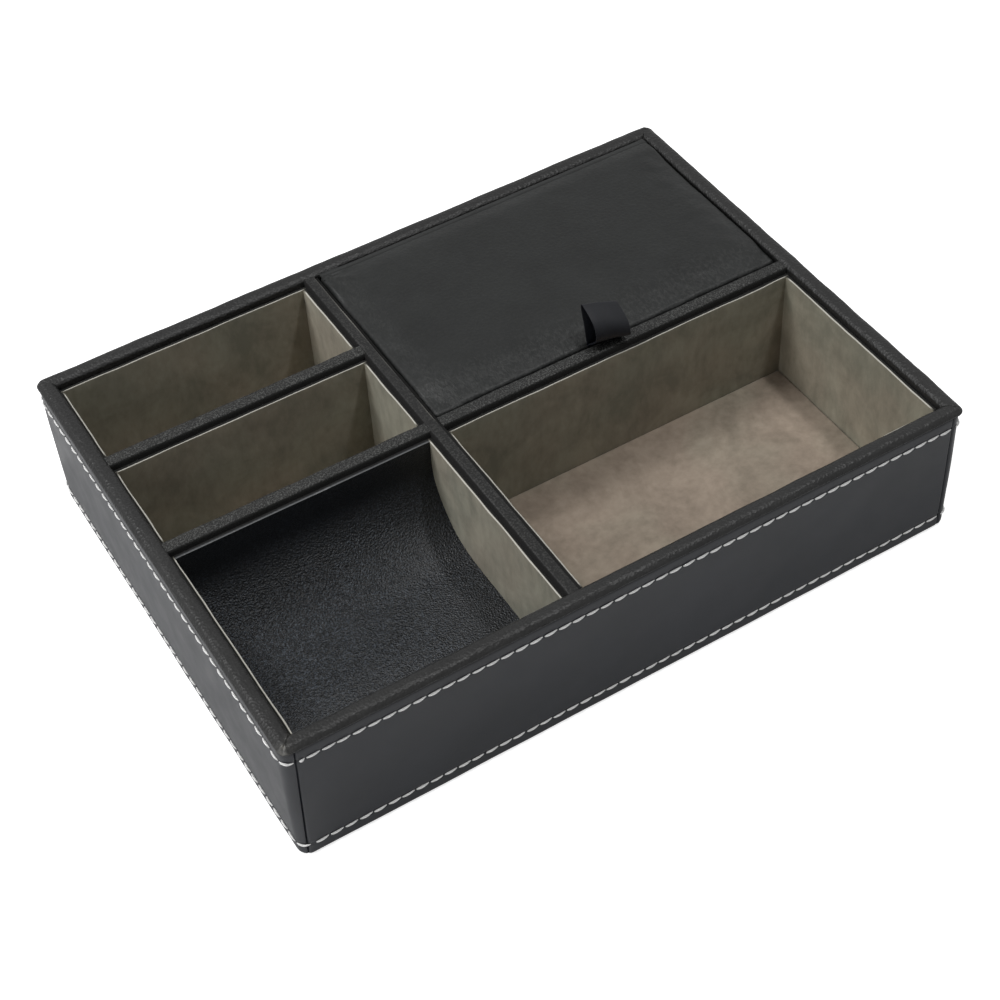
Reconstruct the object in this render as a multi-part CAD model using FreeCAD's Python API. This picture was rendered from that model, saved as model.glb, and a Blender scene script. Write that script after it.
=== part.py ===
import FreeCAD, Part
import math
import os

# A desk tray for pocket things: a leather-covered case with five lined compartments. One compartment
# is closed by a padded lid on a leather hinge and another holds a curved leather cradle for watches.
# Millimetres. +X runs along the long front side, +Y to the back, +Z up. The origin is the middle of
# the underside.

# Case
LENGTH = 265.0
WIDTH = 195.0
HEIGHT = 58.0
CORNER_RADIUS = 4.5
SKIN = 1.0
WALL_BOARD = 4.0
RIM_LEG = 1.5
RIM_EDGE = 1.3
RIM_RADIUS = 2.6
SEAM_GAP = 0.3
FELT = 1.0
FELT_INSET = 3.0
FOOT_GAP = 0.3
FOOT_RADIUS = 1.8
BASE_BOARD = 3.0

# Dividers between the compartments, each a board in a leather wrap
DIVIDER_BOARD = 3.6
DIVIDER_DROP = 0.6
DIVIDER_RADIUS = 2.2

# Clear sizes of the compartments between their leather walls. The rest of the case is the other bays.
LEFT_COLUMN = 100.2
FRONT_ROW = 87.8
BACK_SLOT = 42.2

# Suede linings on card
LINER = 1.5
LINER_DROP = 3.0
FLOOR_PAD = 4.0

# Watch cradle
CRADLE_LEATHER = 0.8
CRADLE_CARD = 0.8
CRADLE_FLOOR = 12.5
CRADLE_RADIUS = 28.0
CRADLE_RIB = 8.0
CRADLE_RIB_INSET = 6.0

# Lid
LID_SIDE_GAP = 0.6
LID_FRONT_GAP = 1.5
LID_BACK_GAP = 1.4
LID_CROWN = 1.5
LID_THICKNESS = 8.6
LID_EDGE_RADIUS = 4.5
LID_BOARD = 2.4
LID_LINING = 0.6
LID_LINING_INSET = 2.0
LID_SKIN = 0.8
LID_REST_GAP = 0.3

# Leather hinge of the lid
HINGE_LEATHER = 0.5
HINGE_END_INSET = 6.0
HINGE_LEG = 6.0
HINGE_DROP = 0.8

# Ribbon pull of the lid
RIBBON_X = 49.5
RIBBON_WIDTH = 13.5
RIBBON_THICKNESS = 0.35
RIBBON_FOLD_GAP = 0.1
RIBBON_LEG = 5.5
RIBBON_RISE = 15.5
RIBBON_BULGE = 6.4
RIBBON_LEAN = 3.2

# Worked out from the sizes above
WALL = WALL_BOARD + 2 * SKIN
DIVIDER = DIVIDER_BOARD + 2 * SKIN
BASE_TOP = FELT + BASE_BOARD
DIVIDER_TOP = HEIGHT - DIVIDER_DROP
LINER_TOP = HEIGHT - LINER_DROP
LEFT_WALL_X = -LENGTH / 2 + WALL
RIGHT_WALL_X = LENGTH / 2 - WALL
FRONT_WALL_Y = -WIDTH / 2 + WALL
BACK_WALL_Y = WIDTH / 2 - WALL
LONG_LEFT_X = LEFT_WALL_X + LEFT_COLUMN
LONG_RIGHT_X = LONG_LEFT_X + DIVIDER
ROW_FRONT_Y = FRONT_WALL_Y + FRONT_ROW
ROW_BACK_Y = ROW_FRONT_Y + DIVIDER
SLOT_BACK_Y = BACK_WALL_Y - BACK_SLOT
SLOT_FRONT_Y = SLOT_BACK_Y - DIVIDER
LID_TOP = HEIGHT + LID_CROWN
LID_BOTTOM = LID_TOP - LID_THICKNESS
HINGE_AXIS_Z = HEIGHT - HINGE_DROP

V = FreeCAD.Vector
X_AXIS = V(1, 0, 0)
Z_AXIS = V(0, 0, 1)
ORIGIN = V(0, 0, 0)


def block(x0, x1, y0, y1, z0, z1):
    """A box between two opposite corners."""
    return Part.makeBox(x1 - x0, y1 - y0, z1 - z0, V(x0, y0, z0))


def outline(corners):
    """A face bounded by straight lines through the corners."""
    return Part.Face(Part.makePolygon(corners + corners[:1]))


def rounded_prism(inset, z0, z1):
    """The case's plan with round corners, moved in by inset, as an upright prism."""
    half_x = LENGTH / 2 - inset
    half_y = WIDTH / 2 - inset
    prism = block(-half_x, half_x, -half_y, half_y, z0, z1)
    upright = [edge for edge in prism.Edges if abs(edge.tangentAt(edge.FirstParameter).z) > 0.9]
    return prism.makeFillet(CORNER_RADIUS - inset, upright)


def cap(width, skin, top, near_radius, far_radius, near_bottom, far_bottom, length):
    """A leather cap over the top edge of a board, along +X from the origin, with a leg on each side."""
    near, far = near_radius * (1 - math.sqrt(0.5)), far_radius * (1 - math.sqrt(0.5))
    near_arc = Part.Arc(V(0, 0, top - near_radius), V(0, near, top - near), V(0, near_radius, top))
    far_end = V(0, width, top - far_radius)
    far_arc = Part.Arc(V(0, width - far_radius, top), V(0, width - far, top - far), far_end)
    inner = [
        V(0, width, far_bottom),
        V(0, width - skin, far_bottom),
        V(0, width - skin, top - skin),
        V(0, skin, top - skin),
        V(0, skin, near_bottom),
        V(0, 0, near_bottom),
    ]
    edges = [near_arc.toShape(), far_arc.toShape()]
    edges.append(Part.makeLine(V(0, near_radius, top), V(0, width - far_radius, top)))
    edges.append(Part.makeLine(far_end, inner[0]))
    edges += [Part.makeLine(a, b) for a, b in zip(inner, inner[1:])]
    edges.append(Part.makeLine(inner[-1], V(0, 0, top - near_radius)))
    return Part.Face(Part.Wire(Part.__sortEdges__(edges))).extrude(X_AXIS * length)


def side_turns():
    """Each side of the case with its length, the turn from the front and the half depth it stands off."""
    return {
        "front": (LENGTH, 0, WIDTH / 2),
        "right": (WIDTH, 90, LENGTH / 2),
        "back": (LENGTH, 180, WIDTH / 2),
        "left": (WIDTH, 270, LENGTH / 2),
    }


def on_side(shape, side):
    """Moves a shape made along +X from the origin, with its outer face at y 0, to a side of the case."""
    length, turn, stand_off = side_turns()[side]
    shape.translate(V(-length / 2, -stand_off, 0))
    shape.rotate(ORIGIN, Z_AXIS, turn)
    return shape


def base():
    """The bottom board and the felt under it."""
    board = rounded_prism(SKIN, FELT, BASE_TOP)
    felt = rounded_prism(FELT_INSET, 0, FELT)
    return {"base_board": board, "base_felt": felt}


def wall_boards():
    """Four boards on the bottom board. The side boards run the whole depth, the others fit between them."""
    ring = rounded_prism(SKIN, BASE_TOP, HEIGHT - SKIN)
    inner = SKIN + WALL_BOARD
    inner_x = LENGTH / 2 - inner
    inner_y = WIDTH / 2 - inner
    ring = ring.cut(block(-inner_x, inner_x, -inner_y, inner_y, 0, HEIGHT))
    return {
        "left_wall_board": ring.common(block(-LENGTH, -inner_x, -WIDTH, WIDTH, 0, HEIGHT)),
        "right_wall_board": ring.common(block(inner_x, LENGTH, -WIDTH, WIDTH, 0, HEIGHT)),
        "front_wall_board": ring.common(block(-inner_x, inner_x, -WIDTH, 0, 0, HEIGHT)),
        "back_wall_board": ring.common(block(-inner_x, inner_x, 0, WIDTH, 0, HEIGHT)),
    }


def side_leathers():
    """Four bands of leather, turned under the bottom board. The side ones wrap the upright corners."""
    skin = rounded_prism(0, FOOT_GAP, HEIGHT - RIM_LEG - SEAM_GAP)
    bottom = [edge for edge in skin.Edges if max(v.Z for v in edge.Vertexes) < FOOT_GAP + 0.01]
    skin = skin.makeFillet(FOOT_RADIUS, bottom)
    ring = skin.cut(rounded_prism(SKIN, FELT, HEIGHT)).cut(rounded_prism(FELT_INSET, 0, HEIGHT))
    seam_x = LENGTH / 2 - CORNER_RADIUS
    return {
        "left_side_leather": ring.common(block(-LENGTH, -seam_x, -WIDTH, WIDTH, 0, HEIGHT)),
        "right_side_leather": ring.common(block(seam_x, LENGTH, -WIDTH, WIDTH, 0, HEIGHT)),
        "front_side_leather": ring.common(block(-seam_x, seam_x, -WIDTH, 0, 0, HEIGHT)),
        "back_side_leather": ring.common(block(-seam_x, seam_x, 0, WIDTH, 0, HEIGHT)),
    }


def rim_leathers():
    """Four leather caps over the walls, mitred at the corners, with a long leg down the inside."""
    plan = rounded_prism(0, 0, HEIGHT)
    pieces = {}
    for side, (length, _, _) in side_turns().items():
        rim = cap(WALL, SKIN, HEIGHT, RIM_EDGE, RIM_RADIUS, HEIGHT - RIM_LEG, BASE_TOP, length)
        mitre = outline([V(0, 0, 0), V(length, 0, 0), V(length - WALL, WALL, 0), V(WALL, WALL, 0)])
        rim = rim.common(mitre.extrude(Z_AXIS * HEIGHT))
        pieces[f"{side}_rim_leather"] = on_side(rim, side).common(plan)
    return pieces


def divider(length):
    """A divider's board and its leather wrap, along +X from the origin, with its front face at y 0."""
    radius = DIVIDER_RADIUS
    wrap = cap(DIVIDER, SKIN, DIVIDER_TOP, radius, radius, BASE_TOP, BASE_TOP, length)
    board = block(0, length, SKIN, DIVIDER - SKIN, BASE_TOP, DIVIDER_TOP - SKIN)
    return board, wrap


def dividers():
    """The long divider from front to back and the three that stand against it."""
    runs = {
        "slot_divider": (LEFT_WALL_X, LONG_LEFT_X, SLOT_FRONT_Y),
        "cradle_divider": (LEFT_WALL_X, LONG_LEFT_X, ROW_FRONT_Y),
        "lid_divider": (LONG_RIGHT_X, RIGHT_WALL_X, ROW_FRONT_Y),
    }
    pieces = {}
    for name, (x0, x1, y) in runs.items():
        for kind, shape in zip(("board", "leather"), divider(x1 - x0)):
            shape.translate(V(x0, y, 0))
            pieces[f"{name}_{kind}"] = shape
    for kind, shape in zip(("board", "leather"), divider(BACK_WALL_Y - FRONT_WALL_Y)):
        shape.rotate(ORIGIN, Z_AXIS, 90)
        shape.translate(V(LONG_RIGHT_X, FRONT_WALL_Y, 0))
        pieces[f"long_divider_{kind}"] = shape
    return pieces


def bays():
    """The clear plan of each compartment between its walls, as x0, x1, y0, y1."""
    return {
        "tray": (LONG_RIGHT_X, RIGHT_WALL_X, FRONT_WALL_Y, ROW_FRONT_Y),
        "lid_bay": (LONG_RIGHT_X, RIGHT_WALL_X, ROW_BACK_Y, BACK_WALL_Y),
        "back_slot": (LEFT_WALL_X, LONG_LEFT_X, SLOT_BACK_Y, BACK_WALL_Y),
        "front_slot": (LEFT_WALL_X, LONG_LEFT_X, ROW_BACK_Y, SLOT_FRONT_Y),
        "cradle": (LEFT_WALL_X, LONG_LEFT_X, FRONT_WALL_Y, ROW_FRONT_Y),
    }


def linings(bay, top):
    """Four suede-covered cards round a compartment and the padded floor between them."""
    x0, x1, y0, y1 = bays()[bay]
    floor_top = BASE_TOP + FLOOR_PAD
    return {
        f"{bay}_front_lining": block(x0, x1, y0, y0 + LINER, BASE_TOP, top),
        f"{bay}_back_lining": block(x0, x1, y1 - LINER, y1, BASE_TOP, top),
        f"{bay}_left_lining": block(x0, x0 + LINER, y0 + LINER, y1 - LINER, BASE_TOP, top),
        f"{bay}_right_lining": block(x1 - LINER, x1, y0 + LINER, y1 - LINER, BASE_TOP, top),
        f"{bay}_floor_pad": block(x0 + LINER, x1 - LINER, y0 + LINER, y1 - LINER, BASE_TOP, floor_top),
    }


def trough(depth, x0, x1):
    """The cradle's hollow, deepened by depth: upright walls, round turns and a level floor."""
    _, _, y0, y1 = bays()["cradle"]
    bed = CRADLE_CARD + CRADLE_LEATHER
    y0 = y0 + bed - depth
    y1 = y1 - bed + depth
    bottom = BASE_TOP + CRADLE_FLOOR - depth
    radius = CRADLE_RADIUS + depth
    k = radius * (1 - math.sqrt(0.5))
    front = Part.Arc(V(x0, y0, bottom + radius), V(x0, y0 + k, bottom + k), V(x0, y0 + radius, bottom))
    back = Part.Arc(V(x0, y1 - radius, bottom), V(x0, y1 - k, bottom + k), V(x0, y1, bottom + radius))
    edges = [
        front.toShape(),
        Part.makeLine(V(x0, y0 + radius, bottom), V(x0, y1 - radius, bottom)),
        back.toShape(),
        Part.makeLine(V(x0, y1, bottom + radius), V(x0, y1, HEIGHT)),
        Part.makeLine(V(x0, y1, HEIGHT), V(x0, y0, HEIGHT)),
        Part.makeLine(V(x0, y0, HEIGHT), V(x0, y0, bottom + radius)),
    ]
    return Part.Face(Part.Wire(edges)).extrude(X_AXIS * (x1 - x0))


def cradle():
    """Curved leather on bent card, carried by two ribs between two suede cheeks."""
    x0, x1, y0, y1 = bays()["cradle"]
    bed_x0 = x0 + LINER
    bed_x1 = x1 - LINER
    leather = trough(CRADLE_LEATHER, bed_x0, bed_x1).cut(trough(0, bed_x0, bed_x1))
    card = trough(CRADLE_LEATHER + CRADLE_CARD, bed_x0, bed_x1).cut(trough(CRADLE_LEATHER, bed_x0, bed_x1))
    below_rim = block(bed_x0, bed_x1, y0, y1, BASE_TOP, LINER_TOP)
    pieces = {
        "cradle_leather": leather.common(below_rim),
        "cradle_card": card.common(below_rim),
        "cradle_left_cheek": block(x0, bed_x0, y0, y1, BASE_TOP, LINER_TOP),
        "cradle_right_cheek": block(bed_x1, x1, y0, y1, BASE_TOP, LINER_TOP),
    }
    hollow = trough(CRADLE_LEATHER + CRADLE_CARD, bed_x0, bed_x1)
    rib_top = BASE_TOP + CRADLE_FLOOR + CRADLE_RADIUS
    rib_starts = {"left": bed_x0 + CRADLE_RIB_INSET, "right": bed_x1 - CRADLE_RIB_INSET - CRADLE_RIB}
    for side, x in rib_starts.items():
        pieces[f"cradle_{side}_rib"] = block(x, x + CRADLE_RIB, y0, y1, BASE_TOP, rib_top).cut(hollow)
    return pieces


def lid_plan():
    """The lid's plan in its compartment, as x0, x1, y0, y1."""
    x0, x1, y0, y1 = bays()["lid_bay"]
    return x0 + LID_SIDE_GAP, x1 - LID_SIDE_GAP, y0 + LID_FRONT_GAP, y1 - LID_BACK_GAP


def cushion(inset, z0):
    """The lid's outer shape moved in by inset: a slab whose top edges are rounded off."""
    x0, x1, y0, y1 = lid_plan()
    top = LID_TOP - inset
    slab = block(x0 + inset, x1 - inset, y0 + inset, y1 - inset, z0, top)
    top_edges = [edge for edge in slab.Edges if min(v.Z for v in edge.Vertexes) > top - 0.01]
    return slab.makeFillet(LID_EDGE_RADIUS - inset, top_edges)


def lid():
    """A board with foam on it in a leather cover, whose hem meets the suede lining glued underneath."""
    x0, x1, y0, y1 = lid_plan()
    board_bottom = LID_BOTTOM + LID_LINING
    board_top = board_bottom + LID_BOARD
    core = cushion(LID_SKIN, board_bottom)
    edge = LID_LINING_INSET
    lining = block(x0 + edge, x1 - edge, y0 + edge, y1 - edge, LID_BOTTOM, board_bottom)
    cover = cushion(0, LID_BOTTOM).cut(core).cut(lining)
    return {
        "lid_cover_leather": cover,
        "lid_board": core.common(block(x0, x1, y0, y1, board_bottom, board_top)),
        "lid_foam_pad": core.common(block(x0, x1, y0, y1, board_top, 2 * HEIGHT)),
        "lid_lining": lining,
    }


def hinge():
    """The two legs of the leather hinge: one glued to the back wall, one to the lid's back edge."""
    x0, x1, _, lid_back = lid_plan()
    wall = bays()["lid_bay"][3]
    x0 += HINGE_END_INSET
    x1 -= HINGE_END_INSET
    bottom = HINGE_AXIS_Z - HINGE_LEG
    return {
        "hinge_wall_leg": block(x0, x1, wall - HINGE_LEATHER, wall, bottom, HINGE_AXIS_Z),
        "hinge_lid_leg": block(x0, x1, lid_back, lid_back + HINGE_LEATHER, bottom, HINGE_AXIS_Z),
    }


def offset_edge(curve, distance, steps):
    """A smooth edge beside a curve in the YZ plane, at a distance to its left."""
    points = []
    for i in range(steps + 1):
        u = curve.FirstParameter + (curve.LastParameter - curve.FirstParameter) * i / steps
        along = curve.tangent(u)[0]
        points.append(curve.value(u) + V(0, -along.z, along.y) * distance)
    beside = Part.BSplineCurve()
    beside.interpolate(points)
    return beside.toShape(), points[0], points[-1]


def ribbon():
    """A ribbon loop glued by both ends to the lid's front edge. It leans back and bulges forwards."""
    front = lid_plan()[2]
    half = RIBBON_THICKNESS / 2
    inner_leg = front - half
    outer_leg = inner_leg - RIBBON_THICKNESS - RIBBON_FOLD_GAP
    foot = HINGE_AXIS_Z - RIBBON_LEG
    peak = HEIGHT + RIBBON_RISE
    loop = Part.BSplineCurve()
    loop_points = [
        V(0, inner_leg, HINGE_AXIS_Z),
        V(0, front + RIBBON_LEAN / 2, HEIGHT + RIBBON_RISE / 2),
        V(0, front + RIBBON_LEAN, peak - RIBBON_RISE / 16),
        V(0, front + RIBBON_LEAN / 2, peak),
        V(0, front - RIBBON_BULGE * 3 / 4, peak - RIBBON_RISE / 4),
        V(0, front - RIBBON_BULGE, HEIGHT + RIBBON_RISE * 2 / 5),
        V(0, front - RIBBON_BULGE * 3 / 5, HEIGHT + RIBBON_RISE / 7),
        V(0, outer_leg, HINGE_AXIS_Z),
    ]
    loop.interpolate(Points=loop_points, InitialTangent=Z_AXIS, FinalTangent=Z_AXIS * -1)
    steps = 32
    left, left_start, left_end = offset_edge(loop, half, steps)
    right, right_start, right_end = offset_edge(loop, -half, steps)
    feet = [V(0, p.y, foot) for p in (left_start, right_start, left_end, right_end)]
    edges = [left, right]
    edges += [Part.makeLine(a, b) for a, b in zip((left_start, right_start, left_end, right_end), feet)]
    edges += [Part.makeLine(feet[0], feet[1]), Part.makeLine(feet[2], feet[3])]
    band = Part.Face(Part.Wire(Part.__sortEdges__(edges))).extrude(X_AXIS * RIBBON_WIDTH)
    band.translate(V(RIBBON_X - RIBBON_WIDTH / 2, 0, 0))
    return {"lid_pull_ribbon": band}


os.makedirs("parts", exist_ok=True)
sections = [base(), wall_boards(), side_leathers(), rim_leathers(), dividers(), cradle()]
sections += [lid(), hinge(), ribbon()]
sections += [linings(bay, LINER_TOP) for bay in ("tray", "back_slot", "front_slot")]
sections.append(linings("lid_bay", LID_BOTTOM - LID_REST_GAP))
for section in sections:
    for name, shape in section.items():
        if len(shape.Solids) != 1 or not shape.isValid():
            print("check", name, len(shape.Solids), "solids, valid", shape.isValid())
        shape.Solids[0].exportStep(f"parts/{name}.step")
print(sum(len(section) for section in sections), "parts written")
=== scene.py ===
"""Looks of a black leather valet tray with open compartments and one padded lid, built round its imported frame."""

import logging
import math
from dataclasses import dataclass
from enum import Enum

import bpy
import numpy as np
from mathutils import Matrix, Vector


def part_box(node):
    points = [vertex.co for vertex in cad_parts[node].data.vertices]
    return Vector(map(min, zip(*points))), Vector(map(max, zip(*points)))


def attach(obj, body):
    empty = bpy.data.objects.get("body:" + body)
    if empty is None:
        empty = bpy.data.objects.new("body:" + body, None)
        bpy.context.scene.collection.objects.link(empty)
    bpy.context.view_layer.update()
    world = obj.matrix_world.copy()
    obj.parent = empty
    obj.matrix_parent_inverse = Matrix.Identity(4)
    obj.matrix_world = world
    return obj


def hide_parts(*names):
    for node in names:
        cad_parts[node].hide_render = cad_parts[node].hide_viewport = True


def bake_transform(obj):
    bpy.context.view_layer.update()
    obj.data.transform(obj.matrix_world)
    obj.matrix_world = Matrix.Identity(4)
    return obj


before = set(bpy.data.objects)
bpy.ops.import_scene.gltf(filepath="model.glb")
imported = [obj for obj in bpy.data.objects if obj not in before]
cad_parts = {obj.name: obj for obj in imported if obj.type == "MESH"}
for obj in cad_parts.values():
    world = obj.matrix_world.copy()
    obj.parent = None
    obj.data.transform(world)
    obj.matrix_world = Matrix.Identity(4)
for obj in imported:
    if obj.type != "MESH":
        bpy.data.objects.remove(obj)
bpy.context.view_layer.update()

LOG = logging.getLogger("valet_tray")
Array = np.ndarray
Piece = bpy.types.Object
Socket = bpy.types.NodeSocket
Point = tuple[float, float, float]
Colour = tuple[float, float, float]
Pair = tuple[float, float]
Value = Socket | Colour | float
Marks = dict[str, Array] | None
MM = 0.001
CASE, LID = "case", "lid"

# Sizes of the case that several classes share, in millimetres.
LENGTH, WIDTH, HEIGHT = 265.0, 195.0, 58.0
CORNER = 4.5
WALL = 6.0
BAND_TOP = 56.2


# ---------------------------------------------------------------- shapes as arrays


def ripple(a: Array, b: Array, wavelength: float, seed: int) -> Array:
    """Smooth seeded waves: the sum of sines of random direction and phase, scaled to about -1 to 1.

    Args:
        a: First coordinate in millimetres.
        b: Second coordinate in millimetres.
        wavelength: Mean distance between crests.
        seed: Seed of the random directions and phases.

    Returns:
        One height for each pair of coordinates.
    """
    waves = 9
    draw = np.random.default_rng(seed)
    turn = draw.uniform(0, 2 * np.pi, waves)
    phase = draw.uniform(0, 2 * np.pi, waves)
    rate = 2 * np.pi / (wavelength * draw.uniform(0.6, 1.7, waves))
    a, b = np.broadcast_arrays(np.asarray(a, float), np.asarray(b, float))
    along = a[..., None] * np.cos(turn) + b[..., None] * np.sin(turn)
    return np.sin(along * rate + phase).sum(-1) / (1.4 * math.sqrt(waves))


def hump(x: Array, width: float) -> Array:
    """A bell of height 1 at x = 0: e to the power of minus x over width, squared."""
    return np.exp(-((np.asarray(x, float) / width) ** 2))


def unit(x: Array) -> Array:
    """Numbers held between 0 and 1."""
    return np.clip(x, 0, 1)


def ease(t: Array) -> Array:
    """A smooth step from 0 to 1: three t squared less two t cubed."""
    return t**2 * (3 - 2 * t)


def box_mm(node: str) -> tuple[Array, Array]:
    """The lowest and the highest corner of a CAD node, in millimetres."""
    low, high = (np.array(corner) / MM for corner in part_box(node))
    return low, high


def sweep(s: Array, loop: Array) -> tuple[Array, Array, Array]:
    """Grids for an outline carried along a path: distance along it, then the outline's two coordinates."""
    run, first = np.meshgrid(s, loop[:, 0], indexing="ij")
    return run, first, np.broadcast_to(loop[:, 1], run.shape)


def spaced(*stops: Pair) -> Array:
    """Numbers from stop to stop, where each stop after the first gives its value and the step up to it.

    Args:
        stops: Pairs of value and step. The first pair's step is not used.

    Returns:
        The rising or falling numbers, each stop met exactly.
    """
    parts = [np.array([stops[0][0]])]
    for (low, _), (high, step) in zip(stops, stops[1:]):
        count = max(1, math.ceil(abs(high - low) / step))
        parts.append(np.linspace(low, high, count + 1)[1:])
    return np.concatenate(parts)


def rounded_loop(corners: list[tuple[float, float, float, float]]) -> Array:
    """A closed outline with rounded corners: each corner is cut back by its radius and bridged by a quadratic curve.

    Args:
        corners: For each corner its two coordinates, its radius, and the step used along the run that follows it.

    Returns:
        Points of the outline in order, without repeating the first.
    """
    places, points = np.array(corners)[:, :2], []
    t = np.linspace(0, 1, 7)[:, None]
    for i, (_, _, radius, step) in enumerate(corners):
        here, after = places[i], (i + 1) % len(corners)
        ways = (places[i - 1] - here, places[after] - here)
        to_before, to_after = (way / np.linalg.norm(way) for way in ways)
        start, end = here + to_before * radius, here + to_after * radius
        points.append((1 - t) ** 2 * start + 2 * t * (1 - t) * here + t**2 * end)
        run = places[after] - to_after * corners[after][2] - end
        inner = max(0, math.ceil(float(np.linalg.norm(run)) / step) - 1)
        if inner and run @ to_after > 0:
            points.append(end + run * (np.arange(1, inner + 1) / (inner + 1))[:, None])
    loop = np.concatenate(points)
    return loop[np.linalg.norm(loop - np.roll(loop, 1, axis=0), axis=1) > 1e-4]


def loop_normals(loop: Array) -> Array:
    """Unit vectors across a closed outline: the chord of each point's neighbours, turned a quarter to point outwards.

    Args:
        loop: Points of the outline in order.

    Returns:
        One vector for each point.
    """
    chord = np.roll(loop, -1, axis=0) - np.roll(loop, 1, axis=0)
    across = np.stack([chord[:, 1], -chord[:, 0]], axis=1)
    across /= np.linalg.norm(across, axis=1, keepdims=True)
    ahead = np.roll(loop, -1, axis=0)
    area = float((loop[:, 0] * ahead[:, 1] - ahead[:, 0] * loop[:, 1]).sum())
    return across if area > 0 else -across


def pushed_out(loop: Array, by: Array) -> tuple[Array, Array]:
    """An outline's two coordinates on a grid: its own plus its normals times each point's distance outwards."""
    across = loop_normals(loop)
    return loop[:, 0] + by * across[:, 0], loop[:, 1] + by * across[:, 1]


def smooth_through(knots: Array, count: int) -> Array:
    """A smooth curve through points: cubic pieces whose slope at a point is half the chord of its neighbours.

    Args:
        knots: Points in order.
        count: Number of points wanted.

    Returns:
        Evenly parametrised points of the curve, ends included.
    """
    slopes = np.gradient(knots, axis=0)
    t = np.linspace(0, len(knots) - 1, count)
    i = np.minimum(t.astype(int), len(knots) - 2)
    f = (t - i)[:, None]
    p0, p1, m0, m1 = knots[i], knots[i + 1], slopes[i], slopes[i + 1]
    return ((2 * f**3 - 3 * f**2 + 1) * p0 + (f**3 - 2 * f**2 + f) * m0
            + (-2 * f**3 + 3 * f**2) * p1 + (f**3 - f**2) * m1)


def along_wall(along_y: bool, run: Array, side: Array, level: Array) -> Array:
    """Points of a wall that runs along Y, or else along X."""
    return np.stack([side, run, level] if along_y else [run, side, level], axis=-1)


def lattice(rows: int, columns: int, closed: bool) -> Array:
    """Four-cornered faces between the rows and columns of a grid of points.

    Args:
        rows: Number of rows of points.
        columns: Number of points in a row.
        closed: Whether the last column joins the first.

    Returns:
        Vertex numbers, one row of four for each face.
    """
    across = columns if closed else columns - 1
    i, j = np.meshgrid(np.arange(rows - 1), np.arange(across), indexing="ij")
    k = (j + 1) % columns
    faces = np.stack([i * columns + j, (i + 1) * columns + j, (i + 1) * columns + k, i * columns + k], axis=-1)
    return faces.reshape(-1, 4)


def make_piece(name: str, points: Array, faces: list, marks: Marks = None, crease: float = 40.0) -> Piece:
    """Makes a mesh object in the row frame with smooth shading, sharp where faces meet steeply.

    Args:
        name: The piece's name.
        points: Vertices in millimetres, one row of three each.
        faces: Lists of vertex numbers.
        marks: Named numbers for each vertex, kept as attributes that materials read.
        crease: Edge angle in degrees above which an edge is sharp.

    Returns:
        The new object, at the origin and unturned.
    """
    mesh = bpy.data.meshes.new(name)
    mesh.from_pydata((points * MM).tolist(), [], faces)
    mesh.polygons.foreach_set("use_smooth", np.ones(len(mesh.polygons), bool))
    mesh.set_sharp_from_angle(angle=math.radians(crease))
    for key, values in (marks or {}).items():
        mesh.attributes.new(key, "FLOAT", "POINT").data.foreach_set("value", values.astype(np.float32).ravel())
    mesh.validate()
    piece = bpy.data.objects.new(name, mesh)
    bpy.context.scene.collection.objects.link(piece)
    return piece


def outward(points: Array, faces: Array) -> int:
    """Which way to read the faces of a closed surface so that they point outwards.

    Its signed volume is the sum over the faces' triangles of one corner dot the product of the other two.

    Args:
        points: One row of three coordinates for each vertex.
        faces: One row of four vertex numbers for each face.

    Returns:
        1 where they point outwards as they are, and -1 where each has to be read backwards.
    """
    a, b, c, d = ((points - points.mean(0))[faces[:, k]] for k in range(4))
    total = np.einsum("ij,ij->i", a, np.cross(b, c)) + np.einsum("ij,ij->i", a, np.cross(c, d))
    return 1 if total.sum() >= 0 else -1


def tube(name: str, grid: Array, marks: Marks = None, crease: float = 60.0) -> Piece:
    """A closed outline carried along a path, with a flat end at each side.

    Args:
        name: The piece's name.
        grid: Points in millimetres as rows along the path, columns round the outline, and three coordinates.
        marks: Named numbers on the same grid.
        crease: Edge angle in degrees above which an edge is sharp.

    Returns:
        The new object, its faces pointing outwards.
    """
    rows, columns = grid.shape[:2]
    points, faces = grid.reshape(-1, 3), lattice(rows, columns, True)
    way, first = outward(points, faces), np.arange(columns)
    caps = [first[::way].tolist(), (first + (rows - 1) * columns)[::-way].tolist()]
    return make_piece(name, points, faces[:, ::way].tolist() + caps, marks, crease)


def shell(name: str, top: Array, bottom: Array, marks: Marks = None, crease: float = 50.0) -> Piece:
    """Two grids of points that share their outermost ring, joined into one closed body.

    Args:
        name: The piece's name.
        top: Upper grid in millimetres, rows, columns and three coordinates.
        bottom: Lower grid of the same shape, whose border is the same as the upper one's.
        marks: Named numbers on the upper grid, which the lower one repeats.
        crease: Edge angle in degrees above which an edge is sharp.

    Returns:
        The new object, its faces pointing outwards.
    """
    rows, columns = top.shape[:2]
    border = np.zeros((rows, columns), bool)
    border[[0, -1], :] = True
    border[:, [0, -1]] = True
    upper = np.arange(rows * columns).reshape(rows, columns)
    lower = np.where(border, upper, 0)
    lower[~border] = rows * columns + np.arange((~border).sum())
    points = np.concatenate([top.reshape(-1, 3), bottom[~border]])
    quads = lattice(rows, columns, False)
    faces = np.concatenate([quads, lower.reshape(-1)[quads][:, ::-1]])
    faces = faces[:, ::outward(points, faces)]
    flat_marks = {key: np.concatenate([v.reshape(-1), v[~border]]) for key, v in (marks or {}).items()}
    return make_piece(name, points, faces.tolist(), flat_marks, crease)


# ---------------------------------------------------------------- materials


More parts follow.
